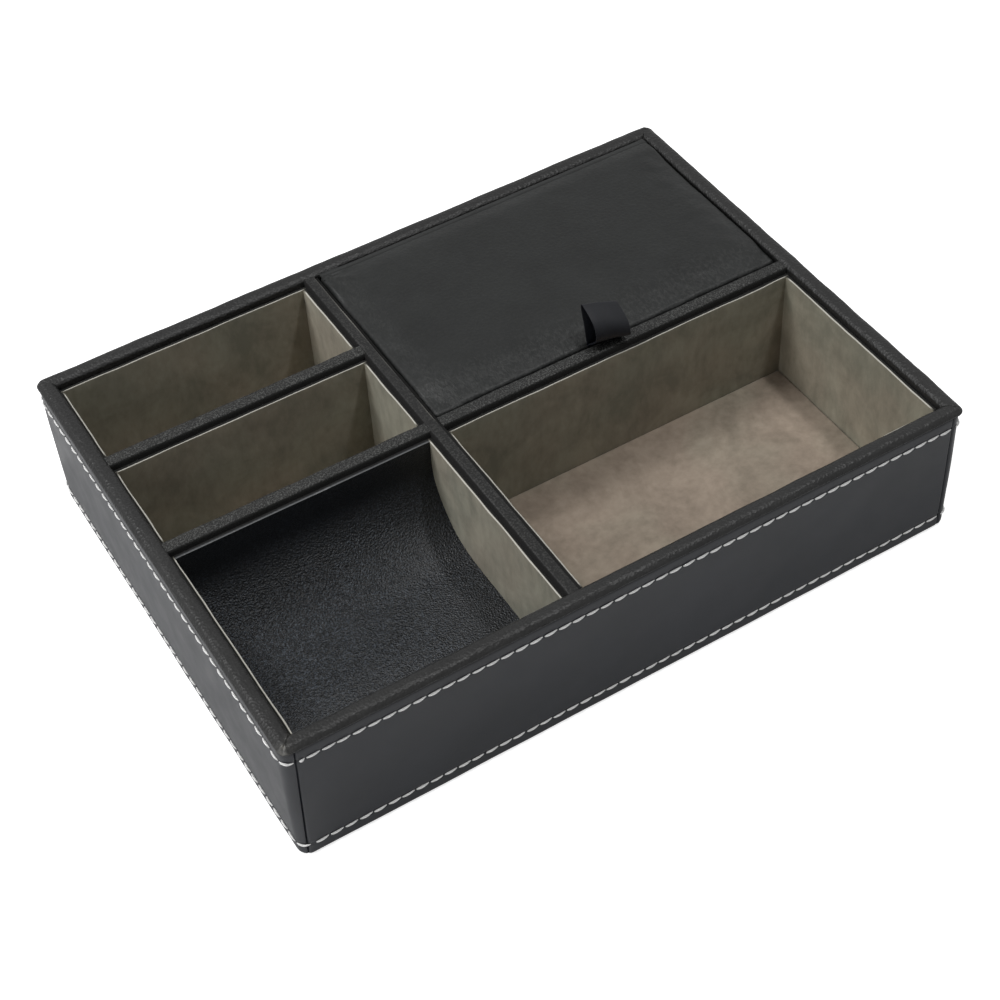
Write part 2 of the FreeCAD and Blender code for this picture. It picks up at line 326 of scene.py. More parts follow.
class Nodes:
    """A node tree of a material or a world."""

    def __init__(self, owner: bpy.types.ID, output: str) -> None:
        """Empties the owner's tree and gives it one output node.

        Args:
            owner: The material or the world.
            output: Type of its output node.
        """
        owner.use_nodes = True
        self.tree = owner.node_tree
        self.tree.nodes.clear()
        self.surface = self.add(output, {}).inputs["Surface"]

    def put(self, socket: Socket, value: Value) -> None:
        """Links an input to an output socket, or gives it plain numbers.

        Args:
            socket: The input.
            value: An output socket, a number, a colour or a vector.
        """
        if isinstance(value, Socket):
            self.tree.links.new(value, socket)
        elif isinstance(value, tuple):
            socket.default_value = (*value, 1.0)[:len(socket.default_value)]
        else:
            socket.default_value = value

    def add(self, kind: str, inputs: dict[str | int, Value], **settings: str) -> bpy.types.Node:
        """Adds a node.

        Args:
            kind: The node's type, less the word that all of them start with.
            inputs: What each input takes, by its name or number.
            settings: Values of the node's own properties.

        Returns:
            The new node.
        """
        node = self.tree.nodes.new("ShaderNode" + kind)
        for key, value in settings.items():
            setattr(node, key, value)
        for key, value in inputs.items():
            self.put(node.inputs[key], value)
        return node

    def sum(self, kind: str, a: Value, b: Value) -> Socket:
        """One step of arithmetic on two sockets or numbers."""
        return self.add("Math", {0: a, 1: b}, operation=kind).outputs["Value"]

    def remap(self, value: Socket, low: float, high: float, to_low: float = 0.0, to_high: float = 1.0) -> Socket:
        """Carries low to high over to another pair of limits and stops at their ends."""
        inputs = {"Value": value, "From Min": low, "From Max": high, "To Min": to_low, "To Max": to_high}
        return self.add("MapRange", inputs).outputs["Result"]


class Graph(Nodes):
    """A material's node tree round one Principled shader, on Object coordinates in metres."""

    def __init__(self, name: str) -> None:
        """Starts a material with its output, its shader and its coordinates.

        Args:
            name: The material's name.
        """
        self.material = bpy.data.materials.new(name)
        super().__init__(self.material, "OutputMaterial")
        self.shader = self.add("BsdfPrincipled", {})
        self.put(self.surface, self.shader.outputs["BSDF"])
        self.where = self.add("TexCoord", {}).outputs["Object"]

    def mark(self, name: str) -> Socket:
        """A number kept on the mesh's vertices."""
        return self.add("Attribute", {}, attribute_name=name).outputs["Fac"]

    def noise(self, scale: float, detail: float = 3.0, rough: float = 0.55, distort: float = 0.0,
              **other: Socket) -> Socket:
        """Cloudy noise from 0 to 1, with the given number of features in each metre, or on another Vector."""
        inputs = {"Vector": self.where, "Scale": scale, "Detail": detail, "Roughness": rough, "Distortion": distort}
        return self.add("TexNoise", inputs | other).outputs["Fac"]

    def cells(self, scale: float, soft: float = 0.4) -> Socket:
        """Softened distance to the nearest of scattered points, as pebbles."""
        inputs = {"Vector": self.where, "Scale": scale, "Smoothness": soft}
        return self.add("TexVoronoi", inputs, feature="SMOOTH_F1").outputs["Distance"]

    def blend(self, share: Socket, a: Value, b: Value, kind: str = "MIX") -> Socket:
        """Mixes two colours, of which either may be a socket, by a share from 0 to 1."""
        return self.add("Mix", {0: share, 6: a, 7: b}, data_type="RGBA", blend_type=kind).outputs[2]

    def stretch(self, *scale: float) -> Socket:
        """Coordinates multiplied on each axis."""
        return self.add("Mapping", {"Vector": self.where, "Scale": scale}).outputs["Vector"]

    def relief(self, *layers: tuple[Socket, float, float]) -> None:
        """Lays bumps over each other.

        Args:
            layers: For each its height, its strength and its depth in millimetres, the lowest first.
        """
        below = {}
        for height, strength, depth in layers:
            inputs = {"Strength": strength, "Distance": depth * MM, "Height": height, **below}
            below = {"Normal": self.add("Bump", inputs).outputs["Normal"]}
        self.fix(**below)

    def fix(self, **values: Value) -> None:
        """Sets or links the shader's own inputs, with underscores for the spaces in their names."""
        for key, value in values.items():
            self.put(self.shader.inputs[key.replace("_", " ")], value)


@dataclass(frozen=True)
class Look:
    """A surface finish, with the name of its material."""

    name: str

    def paint(self, g: Graph) -> None:
        """Joins up the nodes that give this finish its colour, gloss and relief."""

    def material(self) -> bpy.types.Material:
        """Builds the node tree.

        Returns:
            The new material.
        """
        g = Graph(self.name)
        self.paint(g)
        return g.material


@dataclass(frozen=True)
class SmoothLeather(Look):
    """Coated leather of the side bands: nearly smooth, satin, with painted shade in the needle holes along the
    stitching and in the crease under the bead.
    """

    name: str = "smooth_side_leather"
    dark: Colour = (0.0066, 0.0082, 0.0120)
    light: Colour = (0.0102, 0.0124, 0.0180)
    hole_and_seam_shade: Colour = (0.001, 0.001, 0.001)
    roughness: float = 0.36

    def paint(self, g: Graph) -> None:
        """A cloudy tone and gloss, with near-black painted shade, dull, in the holes and along the top crease, under a
        faint grain.

        Args:
            g: The material's tree.
        """
        # The hole mark paints near-black shade into the needle holes and into the crease under the rim bead.
        holes = g.mark("hole")
        base = g.blend(g.remap(g.noise(28, 3), 0.3, 0.7), self.dark, self.light)
        rough = g.remap(g.noise(90, 3), 0.3, 0.7, self.roughness - 0.03, self.roughness + 0.04)
        rough = g.sum("ADD", rough, g.sum("MULTIPLY", holes, 0.4))
        g.relief((g.cells(1700, 0.6), 0.10, 0.05), (g.noise(1500, 2), 0.08, 0.04))
        g.fix(Base_Color=g.blend(holes, base, self.hole_and_seam_shade), Roughness=rough, IOR=1.5)


@dataclass(frozen=True)
class GrainLeather(Look):
    """Soft leather with a fine wrinkled grain, for the rim beads and the lid."""

    name: str = "grained_rim_leather"
    dark: Colour = (0.0060, 0.0060, 0.0060)
    light: Colour = (0.0120, 0.0120, 0.0118)
    pale_streak_highlight: Colour = (0.040, 0.041, 0.040)
    worn: Colour = (0.230, 0.225, 0.210)
    roughness: float = 0.39
    grain: float = 900.0
    depth: float = 0.18
    strength: float = 0.45
    shine: float = 0.34
    hair: float = 0.35

    def paint(self, g: Graph) -> None:
        """A cloudy tone, with pale hair streaks painted as a highlight where the wrinkle mark is high and a pale
        painted highlight on the pleats, over folds, pebbles and fine grain.

        Args:
            g: The material's tree.
        """
        # The pale streaks are a painted highlight, strongest near the lid's front and left edges; the same mark also
        # raises the wrinkles.
        crinkle = g.mark("crinkle")
        base = g.blend(g.remap(g.noise(60, 4), 0.3, 0.7), self.dark, self.light)
        hairs = g.noise(900, 4, 0.6, 0.6, Vector=g.stretch(1.0, 0.6, 1.0))
        streaks = g.sum("MULTIPLY", g.remap(hairs, 0.45, 0.65), crinkle)
        base = g.blend(g.sum("MULTIPLY", streaks, self.hair), base, self.pale_streak_highlight)
        pebble = g.cells(self.grain, 0.35)
        fine = g.noise(self.grain * 1.9, 3, 0.6)
        rough = g.remap(g.sum("ADD", pebble, fine), 0.6, 1.6, self.roughness + 0.08, self.roughness - 0.05)
        g.relief((g.noise(260, 4, 0.6, 0.6), 0.30, 0.35), (g.sum("MULTIPLY", hairs, crinkle), 0.7, 0.4),
                 (pebble, self.strength, self.depth), (fine, 0.25, 0.08))
        g.fix(Base_Color=g.blend(g.mark("worn"), base, self.worn), Roughness=rough, IOR=1.5,
              Specular_IOR_Level=self.shine)


@dataclass(frozen=True)
class PebbleLeather(Look):
    """Embossed leather with raised pebbles under a millimetre wide and pale specks painted as their glints, for the
    cradle and the dividers.
    """

    name: str = "pebbled_cradle_leather"
    dark: Colour = (0.0020, 0.0026, 0.0036)
    light: Colour = (0.1050, 0.1130, 0.1220)
    cut: Colour = (0.30, 0.29, 0.26)
    roughness: float = 0.34
    grain: float = 1000.0
    depth: float = 0.45
    strength: float = 1.0
    shine: float = 0.5
    lumps: float = 0.25

    def paint(self, g: Graph) -> None:
        """Painted glints as pale specks in patches on dark pebbles, fewer where the smooth mark is high, painted shade
        where the shade mark is, with a pale cut edge.

        Args:
            g: The material's tree.
        """
        shade = g.mark("shade")
        pebble = g.cells(self.grain, 0.25)
        fine = g.noise(self.grain * 1.15, 3, 0.6)
        rough = g.sum("SUBTRACT", 1.0, g.mark("smooth"))
        # The pale specks stand in for the glints of the pebbles: a painted highlight.
        patch = g.remap(g.noise(45, 3), 0.25, 0.65, 0.5, 1.0)
        tone = g.sum("MULTIPLY", g.sum("MULTIPLY", g.remap(fine, 0.48, 0.66), patch), rough)
        base = g.blend(shade, g.blend(tone, self.dark, self.light), self.dark)
        matt = g.sum("ADD", g.remap(pebble, 0.1, 0.8, self.roughness - 0.06, self.roughness + 0.16), shade)
        height = g.sum("MULTIPLY", g.sum("ADD", g.sum("MULTIPLY", pebble, -1.0), fine), rough)
        g.relief((g.noise(140, 3), self.lumps, 0.4), (height, self.strength, self.depth))
        g.fix(Base_Color=g.blend(g.mark("cut"), base, self.cut), Roughness=g.sum("MINIMUM", matt, 0.95), IOR=1.5,
              Specular_IOR_Level=self.shine)


@dataclass(frozen=True)
class Suede(Look):
    """Brushed suede cloth on card: mottled nap, with the card's pale cut edge along the top."""

    name: str = "grey_beige_suede"
    dark: Colour = (0.200, 0.192, 0.146)
    light: Colour = (0.318, 0.304, 0.236)
    warm: Colour = (1.06, 0.97, 0.96)
    edge: Colour = (0.58, 0.565, 0.51)
    painted_crevice_shade: Colour = (0.006, 0.006, 0.005)

    def paint(self, g: Graph) -> None:
        """Patches and brushed strokes with warm clouds, a pale edge and a dark line of painted shade, over a short nap.

        Args:
            g: The material's tree.
        """
        brushed = g.noise(260, 4, 0.65, Vector=g.stretch(1.0, 1.0, 0.45))
        patch = g.sum("MULTIPLY", g.noise(42, 4, 0.6, 0.8), 0.62)
        tone = g.sum("ADD", patch, g.sum("MULTIPLY", brushed, 0.38))
        base = g.blend(g.remap(tone, 0.38, 0.62), self.dark, self.light)
        base = g.blend(g.remap(g.noise(24, 2), 0.42, 0.62, 0.0, 0.8), base, self.warm, "MULTIPLY")
        base = g.blend(g.mark("shade"), g.blend(g.mark("edge"), base, self.edge), self.painted_crevice_shade)
        g.relief((brushed, 0.20, 0.25), (g.noise(2600, 2), 0.35, 0.10))
        g.fix(Base_Color=base, Roughness=0.92, Sheen_Weight=0.15, Sheen_Roughness=0.5, IOR=1.4)


@dataclass(frozen=True)
class Thread(Look):
    """Thick white sewing thread, laid in fine slanting twists."""

    name: str = "white_thread"
    pale: Colour = (0.93, 0.93, 0.92)
    shade: Colour = (0.78, 0.78, 0.77)

    def paint(self, g: Graph) -> None:
        """Slanting bands of pale and shaded thread with short fibres.

        Args:
            g: The material's tree.
        """
        bands = {"Vector": g.where, "Scale": 420, "Distortion": 1.5}
        twist = g.add("TexWave", bands, bands_direction="DIAGONAL").outputs["Fac"]
        fibre = g.noise(3000, 2)
        g.relief((twist, 0.5, 0.12), (fibre, 0.3, 0.05))
        g.fix(Base_Color=g.blend(g.remap(g.sum("ADD", twist, fibre), 0.4, 1.3), self.shade, self.pale),
              Roughness=0.75, Sheen_Weight=0.1)


@dataclass(frozen=True)
class Woven(Look):
    """Flat cloth with threads both ways, for the ribbon and the felt."""

    dark: Colour
    light: Colour
    roughness: float
    threads: float
    depth: float
    sheen: float

    def paint(self, g: Graph) -> None:
        """Ribs and fibres that share out the tone, the gloss and the relief.

        Args:
            g: The material's tree.
        """
        fibre = g.noise(self.threads, 3, 0.6)
        ribs = g.noise(self.threads, 2, 0.5, Vector=g.stretch(1.0, 0.12, 0.12))
        tone = g.sum("MULTIPLY", g.sum("ADD", fibre, ribs), 0.5)
        rough = g.remap(tone, 0.3, 0.7, self.roughness - 0.06, self.roughness + 0.06)
        g.relief((ribs, 0.4, self.depth), (fibre, 0.3, self.depth * 0.6))
        if self.sheen:
            g.fix(Sheen_Weight=self.sheen, Sheen_Roughness=0.4)
        g.fix(Base_Color=g.blend(g.remap(tone, 0.35, 0.65), self.dark, self.light), Roughness=rough,
              Specular_IOR_Level=0.3)


@dataclass(frozen=True)
class Board(Look):
    """Pressed fibre board or foam: short fibres in a mottled, matt face."""

    dark: Colour
    light: Colour
    grain: float

    def paint(self, g: Graph) -> None:
        """Fibres and specks that share out the tone and the relief.

        Args:
            g: The material's tree.
        """
        fibre = g.noise(self.grain, 4, 0.7, Vector=g.stretch(1.0, 1.0, 3.0))
        speck = g.cells(self.grain * 2.0)
        tone = g.remap(g.sum("MULTIPLY", g.sum("ADD", fibre, speck), 0.5), 0.3, 0.6)
        g.relief((fibre, 0.4, 0.2), (speck, 0.3, 0.1))
        g.fix(Base_Color=g.blend(tone, self.dark, self.light), Roughness=0.9)


class Finish(Enum):
    """The finishes of the tray's pieces, each with the record's slot that it stands for."""

    SIDE = (SmoothLeather(), "side_leather")
    RIM = (GrainLeather(grain=1050.0, depth=0.26, strength=0.75), "rim_leather")
    LID_COVER = (GrainLeather(
        "soft_lid_leather", grain=760.0, depth=0.16, strength=0.35, roughness=0.41, shine=0.29,
        dark=(0.0057, 0.0064, 0.0062), light=(0.0113, 0.0125, 0.0121), hair=0.55), "lid_leather")
    # The divider's pale specks are painted glints, with its shine lowered to match.
    DIVIDER = (PebbleLeather(
        "pebbled_divider_leather", grain=1700.0, depth=0.24, strength=0.9, shine=0.22,
        dark=(0.0110, 0.0112, 0.0108), light=(0.120, 0.122, 0.117)), "rim_leather")
    LONG_DIVIDER = (PebbleLeather(
        "smooth_divider_leather", grain=1350.0, depth=0.16, strength=0.5, shine=0.30,
        dark=(0.0040, 0.0040, 0.0039), light=(0.050, 0.050, 0.048)), "rim_leather")
    CRADLE = (PebbleLeather(
        grain=1500.0, light=(0.082, 0.097, 0.118), cut=(0.17, 0.175, 0.18), lumps=0.10), "cradle_leather")
    # The wall suede is a darker, yellower copy of the floor suede: partly the suede's own hue, partly painted shade for
    # the walls.
    LINING = (Suede(), "suede")
    FLOOR_LINING = (Suede(
        "taupe_floor_suede", (0.245, 0.212, 0.165), (0.375, 0.326, 0.258), (1.04, 0.96, 0.97)), "suede")
    THREAD = (Thread(), "side_leather")
    RIBBON = (Woven(
        "blue_black_ribbon", (0.0018, 0.0022, 0.0036), (0.0050, 0.0060, 0.0095), 0.50, 2400.0, 0.06, 0.0), "ribbon")
    FELT = (Woven("black_base_felt", (0.006, 0.006, 0.006), (0.020, 0.020, 0.020), 0.9, 1200.0, 0.2, 0.2), "felt")
    WOOD_BOARD = (Board("brown_fibre_board", (0.16, 0.11, 0.07), (0.32, 0.24, 0.16), 700.0), "board")
    DARK_CARD = (Board("black_backed_card", (0.004, 0.004, 0.004), (0.012, 0.012, 0.012), 900.0), "card")
    CARD = (Board("grey_bent_card", (0.34, 0.32, 0.28), (0.48, 0.46, 0.41), 900.0), "card")
    FOAM = (Board("pale_soft_foam", (0.55, 0.52, 0.42), (0.74, 0.71, 0.62), 900.0), "foam")

    def __init__(self, look: Look, slot: str) -> None:
        """Keeps the look and the slot's name."""
        self.look, self.slot = look, slot

    def dress(self, piece: Piece) -> None:
        """Gives a piece this finish's material in each of its places, made once and shared.

        Args:
            piece: A mesh object, new or from the CAD.
        """
        material = bpy.data.materials.get(self.look.name) or self.look.material()
        used = piece.data.materials
        if not used:
            used.append(material)
        for index in range(len(used)):
            used[index] = material

    def dress_nodes(self, *nodes: str) -> None:
        """Dresses CAD nodes that stay as they are."""
        for node in nodes:
            self.dress(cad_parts[node])


def settle(piece: Piece, finish: Finish, body: str | None, *nodes: str) -> None:
    """Dresses a new piece, puts it on its body and hides the CAD nodes that it stands for.

    Args:
        piece: The finished mesh object.
        finish: Its finish.
        body: The CAD body it moves with, or None for a piece that spans two bodies, which is put on neither.
        nodes: CAD nodes that it replaces.
    """
    finish.dress(piece)
    if body:
        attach(piece, body)
    if nodes:
        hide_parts(*nodes)
    LOG.info("%s: %d faces on %s", piece.name, len(piece.data.polygons), body or "both bodies")


# ---------------------------------------------------------------- the case


class Side(Enum):
    """A side of the case, with its sizes in millimetres and its turn from the front in degrees."""

    FRONT = (LENGTH / 2, WIDTH / 2, 0, (-2.3, 0.3), (2.9, 0.7))
    RIGHT = (WIDTH / 2, LENGTH / 2, 90, (0.3, 0.2), (1.1, 0.8))
    BACK = (LENGTH / 2, WIDTH / 2, 180, (0.2, 0.2), (2.2, 1.2))
    LEFT = (WIDTH / 2, LENGTH / 2, 270, (0.2, -2.3), (0.9, 1.6))

    def __init__(self, half: float, stand_off: float, degrees: int, slants: Pair, starts: Pair) -> None:
        """Keeps the side's sizes.

        Args:
            half: Half its length.
            stand_off: How far its outer face is from the middle of the case.
            degrees: Its turn.
            slants: How far the leather's left and right ends shift towards the foot.
            starts: Where the upper and the lower stitch row begin.
        """
        self.half, self.stand_off, self.degrees = half, stand_off, degrees
        self.slants, self.starts = slants, starts
        self.wraps = degrees in (90, 270)

    @property
    def key(self) -> str:
        """The side's name as the nodes spell it."""
        return self.name.lower()

    def turned(self, x: Array, y: Array) -> tuple[Array, Array]:
        """Turns points that were made for the front round to this side."""
        c, s = (round(part(math.radians(self.degrees))) for part in (math.cos, math.sin))
        return x * c - y * s, x * s + y * c


@dataclass
class SideBand:
    """One side's band of smooth leather and its two stitch rows, seen from outside with its run from left to right."""

    side: Side
    pitch: float = 5.28
    rows: Pair = (51.1, 6.4)
    skin: float = 1.0
    foot: float = 0.3
    foot_radius: float = 1.8
    foot_inset: float = 3.0
    slant_reach: float = 12.0
    hole_radius: float = 0.5
    thread_radius: float = 0.56
    thread_gap: float = 0.36

    @property
    def run(self) -> float:
        """Length of the band along the outside, corners included."""
        return 2 * (self.side.half - CORNER) + (math.pi * CORNER if self.side.wraps else 0.0)

    def path(self, s: Array) -> tuple[Array, Array, Array, Array]:
        """Where the band's outer face runs: a straight side, with a quarter circle at each end where it wraps.

        Args:
            s: Distance along the band from its left end.

        Returns:
            X and Y of each point, and X and Y of the direction outwards there.
        """
        reach = self.side.half - CORNER
        past = s - (math.pi / 2 * CORNER if self.side.wraps else 0.0)
        turn = np.radians(270.0) + (np.minimum(past, 0) + np.maximum(past - 2 * reach, 0)) / CORNER
        nx, ny = np.cos(turn), np.sin(turn)
        x = -reach + np.clip(past, 0, 2 * reach) + CORNER * nx
        y = -(self.side.stand_off - CORNER) + CORNER * ny
        return (*self.side.turned(x, y), *self.side.turned(nx, ny))

    def holes(self, row: int) -> Array:
        """Where the thread dives through the leather: even steps of about the pitch that fill the run.

        Args:
            row: 0 for the upper stitch row, 1 for the lower.

        Returns:
            Distances along the run.
        """
        start, margin = self.side.starts[row], 0.4
        count = int((self.run - start - margin) // self.pitch)
        spare = (self.run - start - 0.5 - count * self.pitch) / count
        stops = start + (self.pitch + spare * 0.96) * np.arange(count + 1)
        return np.concatenate([[margin], stops]) if start > 2.5 else stops

    def leather(self) -> None:
        """Makes the band: its outline carried along the run, pressed in along the stitches and at every hole, with
        painted shade in the holes and the top crease.
        """
        side, top, skin, foot, end = self.side, BAND_TOP, self.skin, self.foot, 1.2
        s = spaced((0, 1), (end, 0.2), (self.run - end, self.pitch / 7), (self.run, 0.2))
        loop = rounded_loop([
            (-skin, top, 0.1, 0.4), (0.0, top, 0.85, 0.42), (0.0, foot, self.foot_radius, 0.6),
            (-self.foot_inset, foot, 0.2, 1.0), (-self.foot_inset, foot + 0.7, 0.2, 1.0),
            (-skin, foot + 0.7, 0.2, 6.0)])
        run, out, height = sweep(s, loop)
        press = -0.10 * hump(height - top, 3.2) * (1 + 0.6 * ripple(run, height, 9, 21 + side.degrees))
        # Painted shade: the hole mark darkens the band's top edge, where it tucks into the crease under the bead, and
        # then each needle hole.
        hole = 0.85 * hump(height - top + 0.2, 0.75)
        for row, level in enumerate(self.rows):
            nearest = np.abs(run[..., None] - self.holes(row)).min(-1)
            press -= 0.16 * hump(height - level, 0.7)
            hole = np.maximum(hole, hump(np.hypot(nearest, (height - level) * 1.1), self.hole_radius))
        between = unit((height - self.rows[1]) / (self.rows[0] - self.rows[1]))
        press = press - 0.22 * hole + 0.07 * ripple(run, height, 34, 5 + side.degrees) + 0.10 * np.sin(between * np.pi)
        press -= 0.75 * (1 - unit(np.minimum(run, self.run - run) / 0.9)) ** 2
        outer = unit((out + 0.7) / 0.6)
        out, z = pushed_out(loop, press * outer)
        left, right = (unit(1 - gone / self.slant_reach) for gone in (run, self.run - run))
        shift = side.slants[0] * left + side.slants[1] * right
        x, y, nx, ny = self.path(run + shift * (1 - unit(height / top)))
        grid = np.stack([x + nx * out, y + ny * out, z], axis=-1)
        piece = tube(f"{side.key}_leather_band", grid, {"hole": hole * outer}, crease=40)
        settle(piece, Finish.SIDE, CASE, f"{side.key}_side_leather")

    def stitches(self) -> None:
        """Makes both rows of thread: each stitch a bent, swelling tube from hole to hole, low at its left end."""
        draw = np.random.default_rng(40 + self.side.degrees)
        t = np.linspace(0, 1, 7)
        turn = np.linspace(0, 2 * np.pi, 6, endpoint=False)
        rise = 0.26 * (t - 0.42) + 0.45 * (t - 0.42) ** 2 - 0.06
        lift = 0.16 + 0.16 * np.sin(np.pi * t)
        tapered = np.sqrt(np.sin(np.pi * (0.06 + 0.90 * t)))
        grids = []
        for row, level in enumerate(self.rows):
            gaps = self.holes(row)
            start, end = gaps[:-1] + self.thread_gap, gaps[1:] - self.thread_gap
            shift, slope, drop, size = draw.uniform(-1, 1, (4, len(start)))[..., None]
            climb = level + (1 + 0.35 * slope) * rise + 0.07 * drop
            swell = self.thread_radius * (1 - 0.26 * t) * (1 + 0.10 * size) * tapered
            s = start[:, None] + 0.12 * shift + (end - start)[:, None] * t
            x, y, nx, ny = (part[..., None] for part in self.path(s))
            out = lift[:, None] + 0.80 * swell[..., None] * np.cos(turn)
            grids.append(np.stack([x + nx * out, y + ny * out,
                                   climb[..., None] + swell[..., None] * np.sin(turn)], axis=-1))
        grid = np.concatenate(grids)
        count, rings, around = grid.shape[:3]
        cap = np.array([[0, 1, 2, 3], [0, 3, 4, 5]])
        faces = np.concatenate([lattice(rings, around, True), cap, cap[:, ::-1] + (rings - 1) * around])
        faces = faces[:, ::outward(grid[0].reshape(-1, 3), faces)]
        every = (faces[None] + (np.arange(count) * rings * around)[:, None, None]).reshape(-1, 4)
        piece = make_piece(f"{self.side.key}_stitches", grid.reshape(-1, 3), every.tolist(), crease=70)
        settle(piece, Finish.THREAD, CASE)


@dataclass
class RimBead:
    """The padded leather bead along the top of one wall, from mitre to mitre."""

    side: Side
    crown: float = 0.65
    pleat: float = 0.6
    corner: float = 2.8
    leg_foot: float = 4.0

    def leather(self) -> None:
        """Makes the bead: a crowned outline with a leg down inside the wall, waved, and pleated at the left corner,
        with a painted highlight on the pleat.

        It follows the case's outline set in, whose corner radius shrinks by as much as it is set in.
        """
        side, foot, seed = self.side, self.leg_foot, 60 + self.side.degrees
        length = 2 * side.half
        share = spaced((0, 1), (0.06, 0.0022), (0.94, 1.5 / length), (1, 0.0022))
        corner = np.linspace(-45, 0, 8)[:-1]
        straight = np.concatenate([np.zeros(7), share, np.ones(7)])[:, None]
        bend = np.concatenate([corner, np.zeros(len(share)), -corner[::-1]])[:, None]
        loop = rounded_loop([
            (0.9, BAND_TOP - 0.6, 0.2, 0.4), (-0.35, BAND_TOP + 0.15, 0.42, 0.4), (-0.2, HEIGHT - 0.75, 0.5, 0.4),
            (1.0, HEIGHT, 0.7, 0.5), (WALL, HEIGHT, 1.5, 4.0), (WALL, foot, 0.2, 2.0), (WALL - 0.9, foot, 0.2, 6.0),
            (WALL - 0.9, HEIGHT - 1.1, 0.3, 2.0), (1.6, HEIGHT - 1.1, 0.3, 1.0), (1.6, BAND_TOP - 0.6, 0.2, 1.0)])
        run, depth, z = sweep(straight[:, 0] * length, loop)
        upper = unit((z - (HEIGHT - 2.0)) / 1.2) * (z > HEIGHT - 1.09)
        wave = 0.16 * ripple(run, depth * 3, 26, seed) + 0.07 * ripple(run, depth * 2, 7, seed + 1)
        to_end, square = np.minimum(run, length - run), (45 - np.abs(bend)) / 45
        lift = (self.crown * unit(1 - ((depth - 2.6) / 2.8) ** 2) + wave * 0.8
                - 0.28 * hump(np.hypot(to_end, square * 2.0), 0.9)
                - 0.10 * hump(to_end, 3.5) * np.sin(depth * 2.4 + np.abs(bend) * 0.05))
        worn = 0.0 * run
        pleated_end = {Side.FRONT: 0.0, Side.LEFT: length}.get(side)
        if pleated_end is not None:
            pinch = np.hypot(run - pleated_end, square * 2.2)
            lift += self.pleat * (hump(pinch - 1.0, 0.75) * (0.8 + 0.3 * ripple(run, depth, 2.4, 8)))
            # Painted highlight: a pale patch on the crumpled pleat at the corner.
            worn = unit(0.9 * hump(pinch - 0.5, 1.2) * (0.7 + 0.5 * ripple(run, depth, 1.3, 9)))
        bulge = 0.16 * ripple(run, depth, 17, seed + 2) * hump(depth + 0.2, 0.9) * upper
        inset, turn = depth - bulge, np.radians(270.0 + bend)
        radius = np.maximum(self.corner - inset, 0.05)
        x, y = side.turned((side.half - inset - radius) * (2 * straight - 1) + radius * np.cos(turn),
                           -(side.stand_off - inset - radius) + radius * np.sin(turn))
        piece = tube(f"{side.key}_rim_bead", np.stack([x, y, z + lift * upper], axis=-1),
                     {"worn": worn * upper, "crinkle": 0.35 * upper})
        settle(piece, Finish.RIM, CASE, f"{side.key}_rim_leather")


@dataclass
class Case:
    """Everything that the leather case shows from outside: bands, stitches, beads, and the plain parts below."""

    walls: tuple[str, ...] = ("base", "front_wall", "back_wall", "left_wall", "right_wall", "long_divider",
                              "lid_divider", "cradle_divider", "slot_divider")

    def build(self) -> None:
        """Makes the four sides and dresses the boards and the felt."""
        for side in Side:
            band = SideBand(side)
            band.leather()
            band.stitches()
            RimBead(side).leather()
        Finish.WOOD_BOARD.dress_nodes(*(f"{wall}_board" for wall in self.walls))
        Finish.FELT.dress_nodes("base_felt")


@dataclass
class Divider:
    """A wall between two compartments in its leather wrap, rounded over the top; the one that leans is wider."""

    name: str
    along_y: bool = False
    lean: float = 0.0
    smooth: float = 0.15
    skin: float = 0.9

    def leather(self) -> None:
        """Makes the wrap: an arch of even skin carried along the divider, unevenly laid, stepped where it is folded."""
        low, high = box_mm(f"{self.name}_leather")
        a, b = (1, 0) if self.along_y else (0, 1)
        half, middle, foot, top, skin = (high[b] - low[b]) / 2, (high[b] + low[b]) / 2, low[2], high[2], self.skin
        loop = rounded_loop([
            (-half, foot, 0.2, 5.0), (-half, top, 1.1, 0.25), (half, top, 1.1, 5.0), (half, foot, 0.2, 1.0),
            (half - skin, foot, 0.2, 6.0), (half - skin, top - 1.0, 0.4, 1.0),
            (-half + skin, top - 1.0, 0.4, 6.0), (-half + skin, foot, 0.2, 1.0)])
        run, across, z = sweep(spaced((low[a] - 0.35, 1), (high[a] + 0.35, 1.3)), loop)
        seed, wide = sum(self.name.encode()), self.lean > 0
        fold = half - (1.35 if wide else 0.6)
        over, folded = z > top - 0.6, unit((run - 0.5) / 2) * wide
        outer = (np.abs(across) > half - 0.85) | (z > top - 0.9)
        puff = (0.30 * unit(1 - ((across + self.lean) / half) ** 2)
                + 0.10 * ripple(run, across * 2 + z, 18, seed) + 0.05 * ripple(run, across * 2, 5, seed + 1)
                - 1.3 * unit((across - fold) / 0.3) * over * folded) * unit((z - (top - 5)) / 3) * outer
        side, level = pushed_out(loop, puff)
        grid = along_wall(self.along_y, run, middle + side, level)
        shade = unit(unit((across - fold) / 0.2) + unit((-across - half + 0.6) / 0.2))
        shade = np.where(over, shade, z < top - 0.3)
        patchy = unit(0.40 + 0.8 * ripple(run, 0 * across, 40, seed + 2))
        shoulder = hump(across - fold + 0.05, 0.22) * over * folded * patchy
        marks = {"smooth": np.full(run.shape, self.smooth), "cut": shoulder, "shade": shade * (1 - shoulder)}
        finish = Finish.LONG_DIVIDER if wide else Finish.DIVIDER
        settle(tube(f"{self.name}_wrap", grid, marks), finish, CASE, f"{self.name}_leather")


